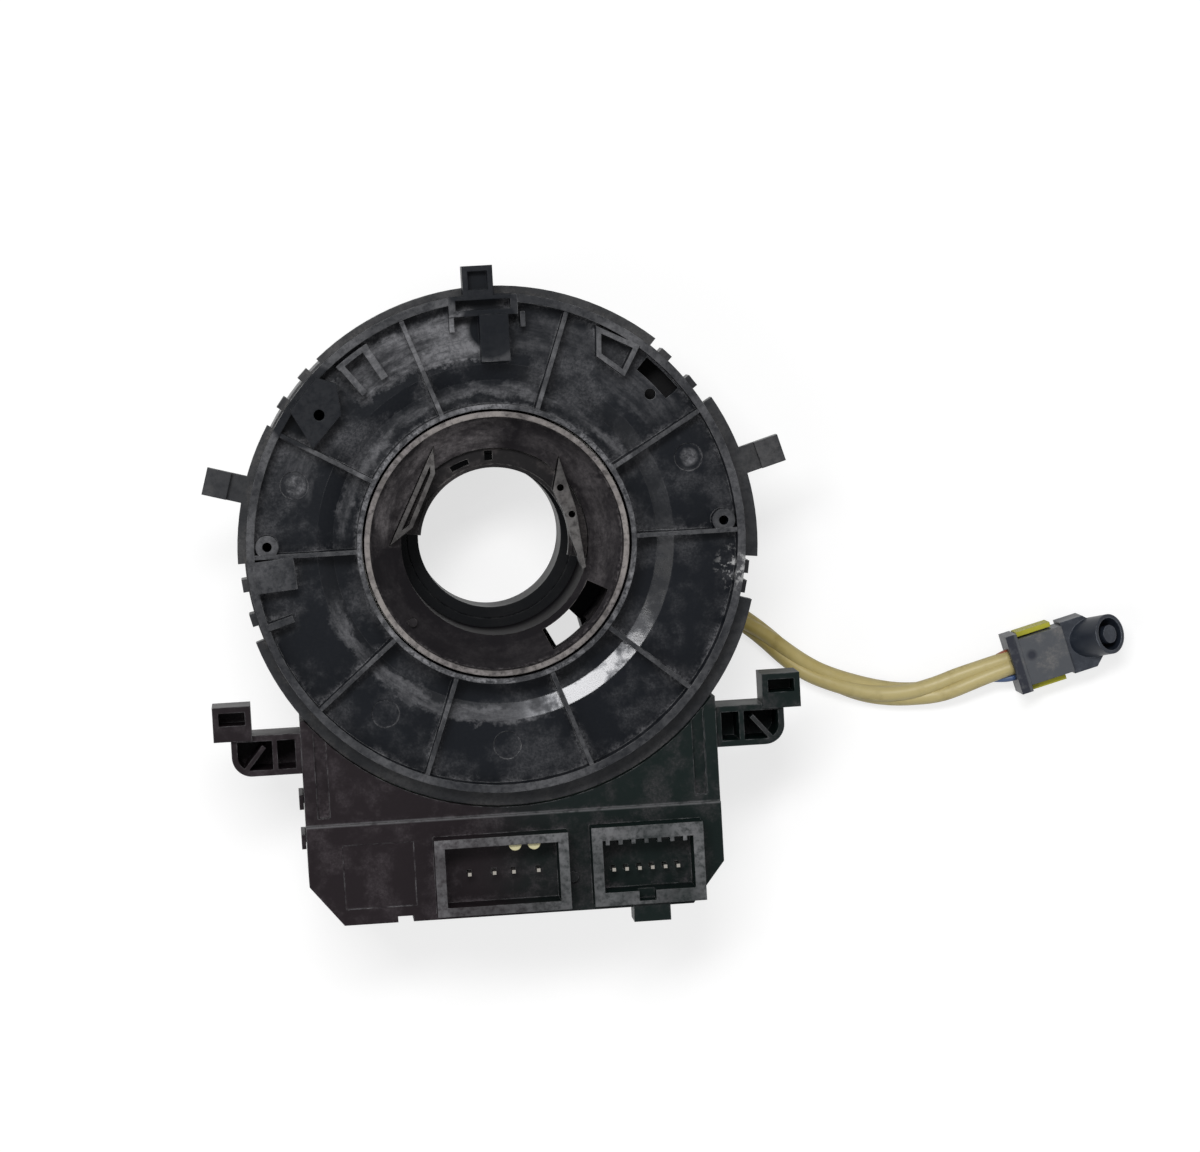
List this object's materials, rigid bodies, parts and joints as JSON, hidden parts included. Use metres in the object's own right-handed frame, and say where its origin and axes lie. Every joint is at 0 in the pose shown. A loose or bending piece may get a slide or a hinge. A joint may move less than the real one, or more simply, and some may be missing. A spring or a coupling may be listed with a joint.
{
  "type": "steering clock spring",
  "caption": "Ribbed ring housing with a rotating hub, a wound flat cable inside, a steering angle sensor box with sockets, and a short cord with its plug.",
  "frame": {"origin": "on the axis of the hub bore, at the hub's front rim on the wheel side, which is the plane the part rests on", "axes": "+Z along the bore from the wheel side to the ribbed column side, -Y towards the connector box, +X towards the cord and plug"},
  "size_m": [0.1909, 0.1331, 0.047],
  "materials": {
    "case_black": "moulded, dusty",
    "housing_black": "moulded, scuffed",
    "rotor_black": "moulded, dusty",
    "inner_black": "moulded",
    "gear_white": "moulded acetal",
    "board_green": "coated board",
    "chip_black": "moulded chip",
    "magnet_dark": "sintered",
    "pin_metal": "tin plated",
    "clip_ivory": "moulded",
    "cable_film": "laminated film",
    "cord_yellow": "sleeved wires",
    "plug_grey": "moulded",
    "plug_dark": "moulded",
    "lock_yellow": "moulded"
  },
  "bodies": {
    "case": {"back_cover": "case_black", "outer_case": "case_black", "sensor_housing": "housing_black", "sensor_front_cover": "housing_black", "partition_plate": "inner_black", "circuit_board": "board_green", "angle_sensor_chips": "chip_black", "control_chip": "chip_black", "airbag_pins": "pin_metal", "signal_pins": "pin_metal", "coding_clips": "clip_ivory", "stator_terminal_block": "inner_black", "flat_cable": "cable_film"},
    "rotor": {"hub_tube": "rotor_black", "rotor_disc": "rotor_black", "wheel_shroud": "rotor_black", "rear_sleeve": "rotor_black", "column_key": "rotor_black", "drive_gear": "gear_white", "rotor_terminal_block": "inner_black", "wheel_pins": "pin_metal", "cord_grip": "rotor_black", "airbag_cord": "cord_yellow", "plug_body": "plug_grey", "plug_head": "plug_dark"},
    "gear_a": {"measuring_gear_a": "gear_white", "magnet_a": "magnet_dark"},
    "gear_b": {"measuring_gear_b": "gear_white", "magnet_b": "magnet_dark"},
    "lock": {"plug_lock": "lock_yellow"}
  },
  "joints": [
    {"name": "rotor_spin", "type": "hinge", "parent": "case", "child": "rotor", "pos_m": [0, 0, 0.02], "axis": [0, 0, 1], "range_deg": [-900, 900]},
    {"name": "gear_a_spin", "type": "hinge", "parent": "case", "child": "gear_a", "pos_m": [-0.01306, -0.03588, 0.03], "axis": [0, 0, 1], "range_deg": [-2910, 2910]},
    {"name": "gear_b_spin", "type": "hinge", "parent": "case", "child": "gear_b", "pos_m": [0.0134, -0.03682, 0.03], "axis": [0, 0, 1], "range_deg": [-2620, 2620]},
    {"name": "lock_slide", "type": "slide", "parent": "rotor", "child": "lock", "axis": [0.9688, 0.2478, 0], "range_m": [0, 0.0015]}
  ],
  "couplings": [
    {"joint": "gear_a_spin", "follows": "rotor_spin", "ratio": -3.2222},
    {"joint": "gear_b_spin", "follows": "rotor_spin", "ratio": -2.9}
  ]
}
